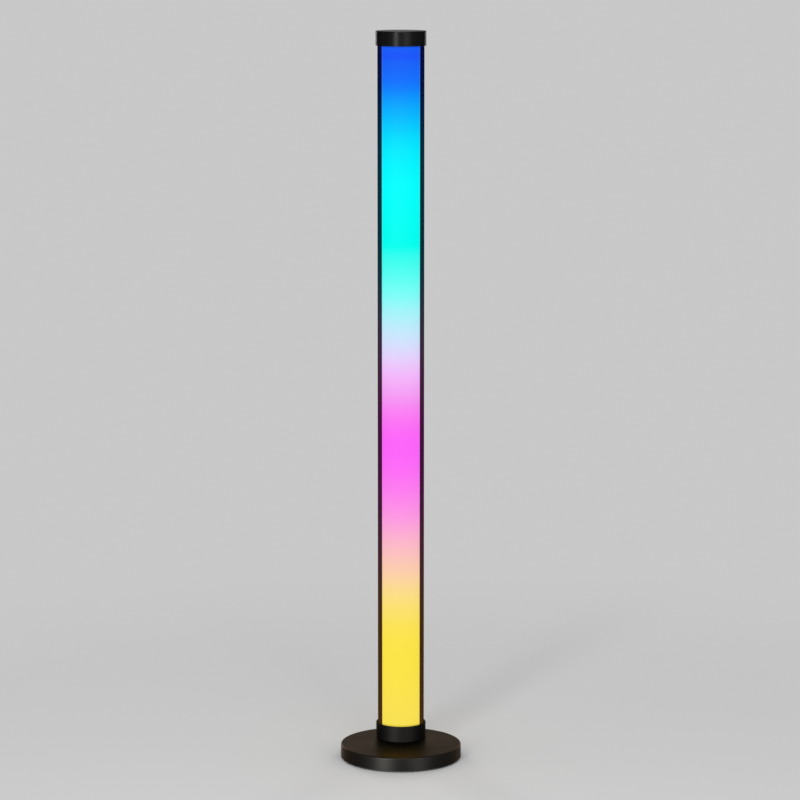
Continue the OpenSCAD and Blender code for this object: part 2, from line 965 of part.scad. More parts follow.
module cap_grub_screws() {
    tip_x = tube_r + grub_tip_gap;
    grub_l = cap_r - grub_back - tip_x;
    color("#2b2b2d")
        at_tube()
            for (side = [0, 180])
                rotate(side)
                    translate([tip_x, 0, grub_z])
                        rotate([0, 90, 0])
                            difference() {
                                cylinder(h = grub_l, d = grub_d);
                                translate([0, 0, grub_l - grub_key_depth])
                                    cylinder(h = grub_key_depth + over, d = grub_key_dia, $fn = 6);
                            }
}

base_shell();
base_weight();
base_bottom_plate();
base_plate_screws();
base_pad();
stem_bolts();
stem_washers();
lower_collar();
lower_end_plate();
lower_end_screws();
spine();
front_diffuser();
rear_diffuser();
front_led_tape();
front_leds();
rear_led_tape();
rear_leds();
front_lead();
rear_lead();
lead_plugs();
control_board();
board_parts();
board_screws();
dc_jack();
dc_jack_contact();
button_switch();
switch_plunger();
push_button();
upper_end_plate();
upper_end_screws();
cap_seal();
top_cap();
cap_grub_screws();
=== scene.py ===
"""Corner floor lamp: the finish of a tall lit tube on a round weighted base."""

import math

import bmesh
import bpy
from bpy.props import FloatProperty, FloatVectorProperty, IntProperty, PointerProperty
from bpy.types import Operator, Panel, PropertyGroup
from mathutils import Matrix, Vector


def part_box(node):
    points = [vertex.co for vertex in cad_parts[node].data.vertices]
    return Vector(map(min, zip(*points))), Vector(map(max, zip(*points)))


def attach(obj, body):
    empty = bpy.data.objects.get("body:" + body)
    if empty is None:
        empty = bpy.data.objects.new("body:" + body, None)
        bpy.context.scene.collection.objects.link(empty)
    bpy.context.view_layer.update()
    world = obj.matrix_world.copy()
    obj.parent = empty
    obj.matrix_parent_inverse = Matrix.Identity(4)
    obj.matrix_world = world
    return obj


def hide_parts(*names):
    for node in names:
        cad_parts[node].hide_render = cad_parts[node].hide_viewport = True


bl_info = {
    "name": "Corner Floor Lamp",
    "version": (1, 0, 0),
    "blender": (4, 5, 0),
    "location": "3D View > Sidebar > Floor Lamp",
    "description": "Finishes a lit corner floor lamp round its packed frame",
    "category": "Object",
}

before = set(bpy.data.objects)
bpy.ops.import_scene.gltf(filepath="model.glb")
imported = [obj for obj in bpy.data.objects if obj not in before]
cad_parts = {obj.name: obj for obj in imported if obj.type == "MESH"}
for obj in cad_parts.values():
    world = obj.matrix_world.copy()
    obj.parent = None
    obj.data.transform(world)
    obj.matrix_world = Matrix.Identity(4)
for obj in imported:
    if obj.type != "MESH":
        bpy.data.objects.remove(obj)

LAMP = "lamp"
BUTTON = "button"
MM = 0.001
TINY = 0.002 * MM
FULL_TURN = 2 * math.pi
# A cut runs this far past the faces that it opens.
OVER = 0.5 * MM
# Faces that meet at a wider angle than this keep a crisp edge between them.
CRISP_ANGLE = math.radians(14)
# Edges where faces meet at a wider angle than this are rounded off.
CORNER_ANGLE = math.radians(35)
# Faces that meet at a smaller angle than this are one flat face.
FLAT_ANGLE = math.radians(0.02)
# Slanted direction along which no two points of a round shape lie at the same place.
ORDER = Vector((1.0, 1.618, 2.718))
# A copied node's flat faces come out of its file this far from flat.
COPY_FLAT_ANGLE = math.radians(0.5)
# Widest turn between two points of an arc.
ARC_STEP = math.radians(1.5)
# How near a point has to be to the tube's outer face to count as on it.
NEAR = 0.05 * MM
# Steps round small bores and round the finer turned pieces.
BORE_STEPS = 32
FINE_STEPS = 96
# Depth of the relief of every surface's grain.
RELIEF_DEPTH = 0.2 * MM
WHITE = (1, 1, 1)


# ---------- sizes that come from the frame ----------


def span(node, axis):
    """Lowest and highest place of a node along an axis, 0 to 2 for X to Z."""
    low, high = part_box(node)
    return low[axis], high[axis]


def middle(node, axis):
    """Middle of a node along an axis."""
    return sum(span(node, axis)) / 2


def half_width(node, axis=0):
    """Half of a node's width along an axis, which is the radius of a round node."""
    low, high = span(node, axis)
    return (high - low) / 2


UP = 2
SHELL_Z = span("base_shell", UP)
PAD_Z = span("base_pad", UP)
COLLAR_Z = span("lower_collar", UP)
CAP_Z = span("top_cap", UP)
SPINE_Z = span("spine", UP)
COVER_Z = span("front_diffuser", UP)
SEAL_Z = span("cap_seal", UP)
BOARD_Z = span("control_board", UP)
SHELL_R = half_width("base_shell")
PAD_R = half_width("base_pad")
COLLAR_R = half_width("lower_collar")
CAP_R = half_width("top_cap")
TUBE_R = half_width("spine")
TUBE_Y = middle("lower_collar", 1)
AXIS_Z = middle("push_button", UP)
BUTTON_X = middle("push_button", 0)
BUTTON_Y = span("push_button", 1)
JACK_X = middle("dc_jack", 0)
# Both end plates are as thick as the upper one.
END_PLATE = 2 * half_width("upper_end_plate", UP)


# ---------- what a user may change ----------


def srgb(red, green, blue):
    """Linear colour of three values from 0 to 255, as a screen shows them."""
    shown = [value / 255 for value in (red, green, blue)]
    return tuple(v / 12.92 if v <= 0.04045 else ((v + 0.055) / 1.055) ** 2.4 for v in shown)


def length(name, description, size):
    """Property for a size that is given in millimetres."""
    return FloatProperty(name=name, description=description, default=size * MM, min=0,
                         unit="LENGTH", precision=4)


def metres(name, description, size):
    """Property for a place that is given in metres."""
    return FloatProperty(name=name, description=description, default=size, unit="LENGTH")


def angle(name, description, degrees):
    """Property for an angle that is given in degrees."""
    return FloatProperty(name=name, description=description, default=math.radians(degrees),
                         unit="ROTATION")


def share(name, description, value):
    """Property for a share, such as a roughness."""
    return FloatProperty(name=name, description=description, default=value, min=0, max=1)


def color(name, description, value):
    """Property for a linear colour."""
    return FloatVectorProperty(name=name, description=description, subtype="COLOR",
                               default=value, min=0, max=1)


class LampShape(PropertyGroup):
    """Sizes of the pieces that are modelled here."""

    turn_steps: IntProperty(
        name="Steps per turn", description="Flats round a turned piece", default=192, min=48)
    round_steps: IntProperty(
        name="Steps per rounding", description="Flats across a rounded edge", default=8, min=2)
    small_edge: length("Small edges", "Rounding of the small edges", 0.35)
    shell_wall: length("Base wall", "Thickness of the base shell's steel", 1.5)
    shell_round: length("Base edge", "Rounding round the top of the base shell", 2.5)
    sleeve_wall: length("Sleeve wall", "Thickness of the collar's and the cap's side wall", 2.7)
    cap_round: length("Cap edge", "Rounding round the top of the cap", 1.2)
    collar_round: length("Collar edge", "Rounding round the top of the collar", 1.0)
    collar_floor: length("Collar floor", "Thickness of the collar's floor", 2.5)
    collar_gap: length("Collar gap", "From the end plate down to the collar's flat wall", 0.3)
    panel_cut: length("Panel depth", "Depth of the flat at the back of the collar", 1.9)
    panel_height: length("Panel height", "Height of the flat at the back of the collar", 14.0)
    panel_wall: length("Panel wall", "Thickness of the collar's wall behind the flat", 3.6)
    inlet_hole: length("Inlet hole", "Diameter of the hole that the plug passes through", 8.4)
    button_hole: length("Button hole", "Diameter of the push button's hole", 8.4)
    bolt_hole: length("Bolt hole", "Diameter of a stem bolt's hole", 6.6)
    bolt_ring: length("Bolt ring", "Distance from the tube's axis to each stem bolt", 28.0)
    bolt_pocket: length("Bolt pocket", "Diameter of the pad's holes over the bolts", 14.0)
    post_width: length("Board post", "Diameter of the posts under the control board", 5.2)
    post_bore: length("Post bore", "Diameter of the bore in each board post", 2.6)
    grub_hole: length("Grub hole", "Diameter of the cap's grub screw holes", 3.1)
    grub_rise: length("Grub height", "From the cap's lower edge up to its grub screws", 8.0)
    rail_angle: angle("Rail angle", "Half of the angle that a side rail takes", 35.4)
    rail_wall: length("Rail wall", "Thickness of the side rails", 2.0)
    web_wall: length("Web", "Thickness of the web between the rails", 2.4)
    lip_wall: length("Lip", "Thickness of the lips that hold the covers", 1.6)
    tongue_wall: length("Tongue", "Thickness of a cover's tongues", 1.6)
    tongue_reach: length("Tongue reach", "How far a tongue reaches under its rail", 6.0)
    cover_wall: length("Cover", "Thickness of the opal covers", 2.0)
    cover_band: length("Cover band", "Width of the thick band along a cover's edge", 3.0)
    slot_gap: length("Slot gap", "Gap between a tongue and its slot", 0.2)
    port_place: length("Screw port", "From the middle of the web to a screw port", 24.0)
    port_width: length("Port width", "Outer diameter of a screw port", 7.6)
    port_bore: length("Port bore", "Diameter of a screw port's bore", 4.1)
    button_flange: length("Button flange", "Width and thickness of the button's flange", 1.2)
    button_dish: length("Button dish", "Depth of the hollow in the button's face", 0.25)


class LampFinish(PropertyGroup):
    """Colours and gloss of the lamp."""

    # The base's coat colour and its reflection at a flat angle are tinted slightly warm, a
    # painted warm reflection of a warm room; the flat-angle value also sets how much the coat
    # reflects there.
    coat_color: color("Base coat", "Satin black coat of the base", (0.0120, 0.0113, 0.0104))
    coat_roughness: share("Base roughness", "Roughness of the base's coat", 0.42)
    coat_tint_and_painted_warmth: color("Base at a flat angle", "What the base reflects at a flat angle",
                     (0.69, 0.61, 0.54))
    cap_color: color("Cap", "Satin black of the cap", (0.0105, 0.0105, 0.0105))
    cap_roughness: share("Cap roughness", "Roughness of the cap", 0.28)
    cap_tint: color("Cap at a flat angle", "What the cap reflects at a flat angle",
                    (0.45, 0.45, 0.45))
    collar_color: color("Collar", "Satin black of the collar", (0.0075, 0.0071, 0.0067))
    collar_roughness: share("Collar roughness", "Roughness of the collar", 0.58)
    collar_tint: color("Collar at a flat angle", "What the collar reflects at a flat angle",
                       (0.55, 0.52, 0.50))
    rail_color: color("Rails", "Black anodised side rails", (0.008, 0.008, 0.009))
    rail_roughness: share("Rail roughness", "Roughness of the side rails", 0.42)
    rail_tint: color("Rails at a flat angle", "What the rails reflect at a flat angle",
                     (0.05, 0.05, 0.06))
    # Painted light: the rails glow faintly in the covers' colours, standing in for light that
    # they catch from the covers.
    rail_painted_glow: color("Light on the rails", "Share of the covers' light that the rails catch",
                      (0.055, 0.027, 0.045))
    glow_share: share("Glow", "Share of the covers' colour that is their own light", 0.79)
    # Painted light: this share of the tube's light colours is painted into the covers' base
    # colour, in place of the plain opal white.
    painted_light_share: share("Cover base", "Share of the light's colour in the covers' own colour",
                      0.16)


class LampStage(PropertyGroup):
    """Camera, floor and lights."""

    camera_distance: metres("Camera distance", "From the base's centre to the camera", 5.1815)
    camera_height: metres("Camera height", "From the floor to the camera", 1.4132)
    camera_side: metres("Camera to the side", "How far right of the lamp it stands", -0.0015)
    camera_pitch: angle("Camera tilt", "How far the camera looks down", 8.88)
    camera_lens: FloatProperty(
        name="Focal length", description="In millimetres on a 36 mm sensor", default=143.74)
    floor_color: color("Floor", "Colour of the plain floor", (0.60, 0.60, 0.60))
    backdrop_color: color("Backdrop", "Colour of the plain backdrop", (0.58, 0.58, 0.58))


# ---------- helpers for meshes ----------


def settings():
    """The scene's sizes of pieces."""
    return bpy.context.scene.lamp_shape


def store(mesh, data):
    """Writes a finished mesh into an object's data, and sets its shading."""
    mesh.to_mesh(data)
    mesh.free()
    data.shade_smooth()
    data.set_sharp_from_angle(angle=CRISP_ANGLE)


def link_piece(name, mesh):
    """Object of a finished mesh, with its faces outwards and its shading set."""
    bmesh.ops.recalc_face_normals(mesh, faces=mesh.faces)
    data = bpy.data.meshes.new(name)
    store(mesh, data)
    piece = bpy.data.objects.new(name, data)
    bpy.context.scene.collection.objects.link(piece)
    return piece


def finish_piece(piece, body, material, node):
    """Gives a piece even shading, its body and its material, and hides the node that it stands
    for.
    """
    even = piece.modifiers.new("Even shading", "WEIGHTED_NORMAL")
    even.keep_sharp = True
    piece.data.materials.clear()
    piece.data.materials.append(material)
    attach(piece, body)
    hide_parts(node)


def rounded_outline(mesh, corners):
    """Closed outline in the XZ plane of (across, up, rounding) corners, as one face."""
    points = [mesh.verts.new((across, 0, up)) for across, up, _ in corners]
    mesh.faces.new(points)
    for point, (_, _, rounding) in zip(points, corners):
        if rounding:
            bmesh.ops.bevel(mesh, geom=[point], offset=rounding, offset_type="OFFSET",
                            segments=settings().round_steps, profile=0.5, affect="VERTICES",
                            clamp_overlap=True, material=-1)


def in_order(mesh):
    """Sorts a mesh's points, edges and faces by place, so that every run gives one mesh."""
    mesh.verts.sort(key=lambda vert: vert.co.dot(ORDER))
    mesh.edges.sort(key=lambda edge: (edge.verts[0].co + edge.verts[1].co).dot(ORDER))
    mesh.faces.sort(key=lambda face: face.calc_center_median().dot(ORDER))


def turned_mesh(corners, steps=None):
    """Mesh turned round the Z axis from the corners of its half section."""
    mesh = bmesh.new()
    rounded_outline(mesh, corners)
    bmesh.ops.delete(mesh, geom=mesh.faces[:], context="FACES_ONLY")
    on_axis = [edge for edge in mesh.edges if all(abs(v.co.x) < TINY for v in edge.verts)]
    bmesh.ops.delete(mesh, geom=on_axis, context="EDGES")
    bmesh.ops.spin(mesh, geom=mesh.verts[:] + mesh.edges[:], cent=(0, 0, 0), axis=(0, 0, 1),
                   angle=FULL_TURN, steps=steps or settings().turn_steps, use_merge=True)
    bmesh.ops.remove_doubles(mesh, verts=mesh.verts, dist=TINY)
    bmesh.ops.recalc_face_normals(mesh, faces=mesh.faces)
    in_order(mesh)
    return mesh


def moved(mesh, move=(0, 0, 0), turn=None):
    """The mesh after a turn about the origin and a move."""
    if turn:
        bmesh.ops.transform(mesh, matrix=turn, verts=mesh.verts)
    bmesh.ops.translate(mesh, verts=mesh.verts, vec=move)
    return mesh


def rod(diameter, low, high, spot=(0, 0), steps=64):
    """Upright round bar from one height to another."""
    mesh = turned_mesh([(0, low, 0), (diameter / 2, low, 0), (diameter / 2, high, 0),
                        (0, high, 0)], steps)
    return moved(mesh, (spot[0], spot[1], 0))


def block(low, high):
    """Box between two corners."""
    mesh = bmesh.new()
    bmesh.ops.create_cube(mesh, size=1)
    bmesh.ops.scale(mesh, vec=Vector(high) - Vector(low), verts=mesh.verts)
    return moved(mesh, (Vector(low) + Vector(high)) / 2)


TO_BACK = Matrix.Rotation(math.radians(-90), 4, "X")
TO_SIDE = Matrix.Rotation(math.radians(90), 4, "Y")


def combined(piece, tools, operation):
    """Cuts tools from a piece, or joins them to it."""
    joined = bmesh.new()
    for tool in tools:
        part = bpy.data.meshes.new("tool")
        tool.to_mesh(part)
        tool.free()
        joined.from_mesh(part)
        bpy.data.meshes.remove(part)
    tool = link_piece("tool", joined)
    change = piece.modifiers.new("Change", "BOOLEAN")
    change.operation = operation
    change.solver = "EXACT"
    change.object = tool
    seen = piece.evaluated_get(bpy.context.evaluated_depsgraph_get())
    data = bpy.data.meshes.new_from_object(seen)
    piece.modifiers.clear()
    piece.data = data
    bpy.data.objects.remove(tool)
    return piece


def tidied(piece, width=0, chosen=None, flat=FLAT_ANGLE):
    """Merges a piece's flat faces, rounds its sharp edges or some of them, and shades it."""
    mesh = bmesh.new()
    mesh.from_mesh(piece.data)
    in_order(mesh)
    bmesh.ops.remove_doubles(mesh, verts=mesh.verts, dist=TINY)
    bmesh.ops.dissolve_limit(mesh, angle_limit=flat, verts=mesh.verts, edges=mesh.edges,
                             use_dissolve_boundaries=False, delimit=set())
    sharp = [edge for edge in mesh.edges
             if len(edge.link_faces) == 2 and edge.calc_face_angle() > CORNER_ANGLE
             and (chosen is None or chosen(edge))]
    if width:
        bmesh.ops.bevel(mesh, geom=sharp, offset=width, offset_type="OFFSET", segments=2,
                        profile=0.5, affect="EDGES", clamp_overlap=chosen is None, material=-1)
    bmesh.ops.recalc_face_normals(mesh, faces=mesh.faces)
    in_order(mesh)
    store(mesh, piece.data)
    return piece


def softened_copy(node, width):
    """New piece with a node's shape and its sharp edges rounded."""
    piece = bpy.data.objects.new("soft_" + node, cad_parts[node].data.copy())
    bpy.context.scene.collection.objects.link(piece)
    return tidied(piece, width, flat=COPY_FLAT_ANGLE)


def soften_nodes(rows):
    """Rounds copies of nodes, from rows of node, body, slot, finish and width in mm."""
    for node, body, slot, finish, width in rows:
        finish_piece(softened_copy(node, width * MM), body, finish_named(finish), node)


def arc(mesh, radius, start, end):
    """Row of points round the Z axis, as its first and last point."""
    first = mesh.verts.new((radius * math.cos(start), radius * math.sin(start), 0))
    if start == end:
        return first, first
    return first, swept(mesh, first, (0, 0, 0), end - start,
                        max(1, round(abs(end - start) / ARC_STEP)))


def swept(mesh, point, centre, turn, steps):
    """Row of points swept from a point round a centre, as its last point."""
    made = bmesh.ops.spin(mesh, geom=[point], cent=centre, axis=(0, 0, 1), angle=turn,
                          steps=steps)
    return [item for item in made["geom_last"] if isinstance(item, bmesh.types.BMVert)][0]


def filled(mesh, rows, mirrors):
    """Joins rows of points end to end, mirrors them and fills the section they close."""
    for (_, before), (after, _) in zip(rows, rows[1:]):
        mesh.edges.new((before, after))
    for axis in mirrors:
        bmesh.ops.mirror(mesh, geom=mesh.verts[:] + mesh.edges[:], axis=axis, merge_dist=TINY)
        bmesh.ops.remove_doubles(mesh, verts=mesh.verts, dist=TINY)
    bmesh.ops.contextual_create(mesh, geom=mesh.edges[:])


def drawn_up(mesh, heights):
    """The filled section drawn up between two heights on the tube's axis."""
    made = bmesh.ops.extrude_face_region(mesh, geom=mesh.faces[:])
    raised = [item for item in made["geom"] if isinstance(item, bmesh.types.BMVert)]
    bmesh.ops.translate(mesh, verts=raised, vec=(0, 0, heights[1] - heights[0]))
    bmesh.ops.recalc_face_normals(mesh, faces=mesh.faces)
    return moved(mesh, (0, TUBE_Y, heights[0]))


def on_tube_face(edge):
    """Whether an edge lies on the outer face of the tube."""
    return all(math.hypot(v.co.x, v.co.y - TUBE_Y) > TUBE_R - NEAR for v in edge.verts)


def stem_bolt_spots():
    """Places of the three stem bolts round the tube's axis, the first one in front."""
    turns = [-math.pi / 2 + number * FULL_TURN / 3 for number in range(3)]
    ring = settings().bolt_ring
    return [(ring * math.cos(turn), TUBE_Y + ring * math.sin(turn)) for turn in turns]


# ---------- helpers for materials ----------


FLOAT = "NodeSocketFloat"
VECTOR = "NodeSocketVector"
COLOR = "NodeSocketColor"


def feed(node, inputs):
    """Sets inputs of a node to numbers, or links them to other nodes' outputs."""
    for socket, value in inputs.items():
        if isinstance(value, bpy.types.NodeSocket):
            node.id_data.links.new(value, node.inputs[socket])
        else:
            node.inputs[socket].default_value = value


def place(tree, kind, x, y, inputs=None, **values):
    """Adds a shader node at a place in the editor, with its settings and what feeds it."""
    node = tree.nodes.new("ShaderNode" + kind)
    node.location = (x, y)
    for key, value in values.items():
        setattr(node, key, value)
    feed(node, inputs or {})
    return node


def new_group(name, inputs, outputs):
    """Empty shader node group, with what its inputs give and the node that puts out."""
    group = bpy.data.node_groups.new(name, "ShaderNodeTree")
    for socket, kind, value in inputs:
        made = group.interface.new_socket(socket, in_out="INPUT", socket_type=kind)
        if value is not None:
            made.default_value = value
    for socket, kind in outputs:
        group.interface.new_socket(socket, in_out="OUTPUT", socket_type=kind)
    enter = group.nodes.new("NodeGroupInput")
    enter.location = (-1300, 0)
    leave = group.nodes.new("NodeGroupOutput")
    leave.location = (600, 0)
    return group, enter.outputs, leave


# Fineness of the grain and of the clouds, and the part of the clouds' noise that is used.
GRAIN_DETAIL = 3.0
CLOUD_DETAIL = 4.0
CLOUD_RANGE = (0.3, 0.7)


def surface_texture_group():
    """Fine height, cloudy tone and slow gloss change of a coated, cast or drawn surface."""
    name = "Surface texture"
    if name in bpy.data.node_groups:
        return bpy.data.node_groups[name]
    group, given, leave = new_group(
        name,
        [("Position", VECTOR, None), ("Stretch", VECTOR, (1, 1, 1)), ("Grain", FLOAT, 900.0),
         ("Clouds", FLOAT, 14.0), ("Color", COLOR, (0.5, 0.5, 0.5, 1)),
         ("Tone change", FLOAT, 0.1), ("Roughness", FLOAT, 0.4), ("Gloss change", FLOAT, 0.06)],
        [("Color", COLOR), ("Roughness", FLOAT), ("Height", FLOAT)])
    stretched = place(group, "VectorMath", -760, 120,
                      {0: given["Position"], 1: given["Stretch"]},
                      operation="MULTIPLY").outputs[0]
    grain = place(group, "TexNoise", -520, 260,
                  {"Vector": stretched, "Scale": given["Grain"], "Detail": GRAIN_DETAIL})
    clouds = place(group, "TexNoise", -520, -60,
                   {"Vector": stretched, "Scale": given["Clouds"], "Detail": CLOUD_DETAIL})
    even = place(group, "MapRange", -300, -60, {
        "Value": clouds.outputs["Fac"], "From Min": CLOUD_RANGE[0],
        "From Max": CLOUD_RANGE[1], "To Min": -1.0}).outputs["Result"]
    tone = place(group, "Math", -80, 100, {0: even, 1: given["Tone change"], 2: 1.0},
                 operation="MULTIPLY_ADD")
    shade = place(group, "VectorMath", 140, 100, {0: given["Color"], "Scale": tone.outputs[0]},
                  operation="SCALE")
    gloss = place(group, "Math", -80, -160,
                  {0: even, 1: given["Gloss change"], 2: given["Roughness"]},
                  operation="MULTIPLY_ADD")
    feed(leave, {"Color": shade.outputs[0], "Roughness": gloss.outputs[0],
                 "Height": grain.outputs["Fac"]})
    return group


# Light colours by height, from the collar (0) to the cap (1).
LIGHT_COLORS = (
    ("Yellow", 0.15, srgb(255, 230, 85)),
    ("Cream", 0.22, srgb(255, 215, 160)),
    ("Peach pink", 0.30, srgb(255, 165, 220)),
    ("Magenta", 0.40, srgb(255, 105, 250)),
    ("Orchid", 0.48, srgb(250, 140, 245)),
    ("Lavender", 0.55, srgb(230, 210, 255)),
    ("Ice", 0.63, srgb(145, 250, 250)),
    ("Aqua", 0.71, srgb(15, 255, 240)),
    ("Turquoise", 0.80, srgb(0, 255, 255)),
    ("Cyan", 0.87, srgb(0, 220, 255)),
    ("Azure", 0.93, srgb(10, 145, 255)),
    ("Blue", 0.98, srgb(25, 95, 250)),
)


def light_colors_group():
    """Light of the tube by height, a little weaker at the tube's ends and a cover's edges."""
    name = "Light along the tube"
    if name in bpy.data.node_groups:
        return bpy.data.node_groups[name]
    group, given, leave = new_group(
        name,
        [("Position", VECTOR, None), ("Low", FLOAT, 0.0), ("High", FLOAT, 1.0),
         ("Axis back", FLOAT, 0.0), ("Edge turn", FLOAT, 1.0), ("Edge width", FLOAT, 0.1),
         ("End width", FLOAT, 0.004), ("Edge pale", FLOAT, 0.0), ("Edge shade", FLOAT, 0.0),
         ("End shade", FLOAT, 0.0)],
        [("Color", COLOR)])
    across, back, up = place(group, "SeparateXYZ", -1100, 300,
                             {0: given["Position"]}).outputs
    share_up = place(group, "MapRange", -860, 500,
                     {"Value": up, "From Min": given["Low"], "From Max": given["High"]})
    ramp = place(group, "ValToRGB", -620, 500, {"Fac": share_up.outputs["Result"]})
    ramp.color_ramp.interpolation = "CARDINAL"
    stops = ramp.color_ramp.elements
    for _, position, _ in LIGHT_COLORS[1:-1]:
        stops.new(position)
    for stop, (_, position, shade) in zip(stops, LIGHT_COLORS):
        stop.position = position
        stop.color = (*shade, 1)

    def step(label, x, y, operation, *parts):
        """One sum, from sockets or numbers."""
        return place(group, "Math", x, y, dict(enumerate(parts)), operation=operation,
                     label=label).outputs[0]

    aside = step("Aside", -860, 200, "ABSOLUTE", across)
    behind = step("Behind", -860, 40, "SUBTRACT", back, given["Axis back"])
    away = step("Away", -680, 40, "ABSOLUTE", behind)
    turn = step("Turn from the middle", -500, 140, "ARCTAN2", aside, away)
    inner = step("Edge begins", -680, -120, "SUBTRACT", given["Edge turn"], given["Edge width"])
    edge = place(group, "MapRange", -300, 140,
                 {"Value": turn, "From Min": inner, "From Max": given["Edge turn"]},
                 interpolation_type="SMOOTHSTEP").outputs["Result"]
    to_high = step("Below the cap", -860, -260, "SUBTRACT", given["High"], up)
    to_low = step("Above the collar", -860, -420, "SUBTRACT", up, given["Low"])
    to_end = step("To the nearer end", -680, -340, "MINIMUM", to_high, to_low)
    end = place(group, "MapRange", -300, -260, {
        "Value": to_end, "From Max": given["End width"], "To Min": 1.0, "To Max": 0.0},
        interpolation_type="SMOOTHSTEP").outputs["Result"]
    pale = step("Pale", -100, 300, "MULTIPLY", edge, given["Edge pale"])
    edge_shade = step("Edge shade", -100, 60, "MULTIPLY", edge, given["Edge shade"])
    end_shade = step("End shade", -100, -160, "MULTIPLY", end, given["End shade"])
    shade_sum = step("Shade", 80, -40, "ADD", edge_shade, end_shade)
    left_over = step("Light left", 240, -40, "SUBTRACT", 1.0, shade_sum)
    blend = place(group, "Mix", 120, 420,
                  {"Factor": pale, "A": ramp.outputs["Color"], "B": (*WHITE, 1)},
                  data_type="RGBA")
    result = place(group, "VectorMath", 400, 200,
                   {0: blend.outputs["Result"], "Scale": left_over}, operation="SCALE")
    feed(leave, {"Color": result.outputs[0]})
    return group


def textured(name, shade, roughness, metallic=0.0, specular=0.5, bump=0.1, grain=900.0,
             clouds=14.0, tone=0.08, gloss=0.05, stretch=(1, 1, 1), tint=WHITE):
    """Material of one colour with a fine surface and slow changes of tone and gloss."""
    if name in bpy.data.materials:
        return bpy.data.materials[name]
    material = bpy.data.materials.new(name)
    material.use_nodes = True
    tree = material.node_tree
    where = place(tree, "TexCoord", -900, 0)
    texture = place(tree, "Group", -620, 0, {
        "Position": where.outputs["Object"], "Stretch": stretch, "Grain": grain,
        "Clouds": clouds, "Color": (*shade, 1), "Tone change": tone, "Roughness": roughness,
        "Gloss change": gloss}, node_tree=surface_texture_group())
    relief = place(tree, "Bump", -320, -240, {
        "Height": texture.outputs["Height"], "Strength": bump, "Distance": RELIEF_DEPTH})
    feed(tree.nodes["Principled BSDF"], {
        "Base Color": texture.outputs["Color"], "Metallic": metallic,
        "Roughness": texture.outputs["Roughness"], "Specular IOR Level": specular,
        "Specular Tint": (*tint, 1), "Normal": relief.outputs["Normal"]})
    return material


# How the light falls off over a cover, and how the glow painted on a rail falls off: "Edge" is
# along the tube's sides, and "End" is at the collar and the cap.
END_WIDTH = 4 * MM
COVER_LIGHT = {"Edge width": math.radians(6), "Edge pale": 0.03, "Edge shade": 0.06,
               "End shade": 0.3}
# The painted glow on the rails is weaker further from the covers, up to a quarter turn from the
# middle.
RAIL_PAINTED_GLOW = {"Edge turn": math.pi / 2, "Edge width": math.radians(20), "Edge shade": 0.7}


def light_colors(material, changes):
    """Node in a material that gives the tube's light colours, as its output socket."""
    tree = material.node_tree
    light = place(tree, "Group", -620, 420, {
        "Position": tree.nodes["Texture Coordinate"].outputs["Object"], "Low": COLLAR_Z[1],
        "High": CAP_Z[0], "Axis back": TUBE_Y, "End width": END_WIDTH, **changes},
        node_tree=light_colors_group())
    return light.outputs["Color"]


def lit_cover():
    """Opal cover: it glows with the tube's light colours as its own light, and its base colour
    is painted with a share of the same light colours.
    """
    name = "lit_opal_cover"
    if name in bpy.data.materials:
        return bpy.data.materials[name]
    finish = bpy.context.scene.lamp_finish
    shape = settings()
    material = textured(name, (0.9, 0.9, 0.9), 0.6, specular=0.02, bump=0.02, grain=1600)
    cover_turn = math.pi / 2 - shape.rail_angle - shape.slot_gap / TUBE_R
    light = light_colors(material, {"Edge turn": cover_turn, **COVER_LIGHT})
    # The covers' base colour is painted with the light colours, so the painted light shows
    # under any lamp.
    painted_light_base = place(material.node_tree, "VectorMath", -320, 320,
                {0: light, "Scale": finish.painted_light_share}, operation="SCALE")
    feed(material.node_tree.nodes["Principled BSDF"], {
        "Base Color": painted_light_base.outputs[0], "Emission Color": light,
        "Emission Strength": finish.glow_share})
    return material


# ---------- finishes ----------


def black_finish(part):
    """Black of the base's coat, the cap, the collar or the rails."""
    finish = bpy.context.scene.lamp_finish
    name, shade, roughness, tint, grain = {
        "coat": ("satin_base_coat", finish.coat_color, finish.coat_roughness,
                 finish.coat_tint_and_painted_warmth, {"bump": 0.10, "grain": 1100}),
        "cap": ("satin_cap_black", finish.cap_color, finish.cap_roughness,
                finish.cap_tint, {"bump": 0.05, "grain": 1300}),
        "collar": ("satin_collar_black", finish.collar_color, finish.collar_roughness,
                   finish.collar_tint, {"bump": 0.06, "grain": 1300}),
        "rail": ("black_anodised_rails", finish.rail_color, finish.rail_roughness,
                 finish.rail_tint, {"bump": 0.04, "stretch": (1, 1, 0.004)}),
    }[part]
    return textured(name, shade, roughness, metallic=1.0, tint=tint, **grain)


def black_anodising():
    """Black anodised extrusion with faint lines along it, and a faint painted glow in the
    covers' light colours.
    """
    material = black_finish("rail")
    # Painted glow: the covers' light colours, scaled down, are given to the rails as their own
    # light.
    painted_rail_glow = place(material.node_tree, "VectorMath", -320, 320, {
        0: light_colors(material, RAIL_PAINTED_GLOW), 1: bpy.context.scene.lamp_finish.rail_painted_glow},
        operation="MULTIPLY")
    feed(material.node_tree.nodes["Principled BSDF"],
         {"Emission Color": painted_rail_glow.outputs[0], "Emission Strength": 1.0})
    return material


# What moulded plastic has in common.
MOULDED = {"specular": 0.4, "bump": 0.15, "grain": 1500}
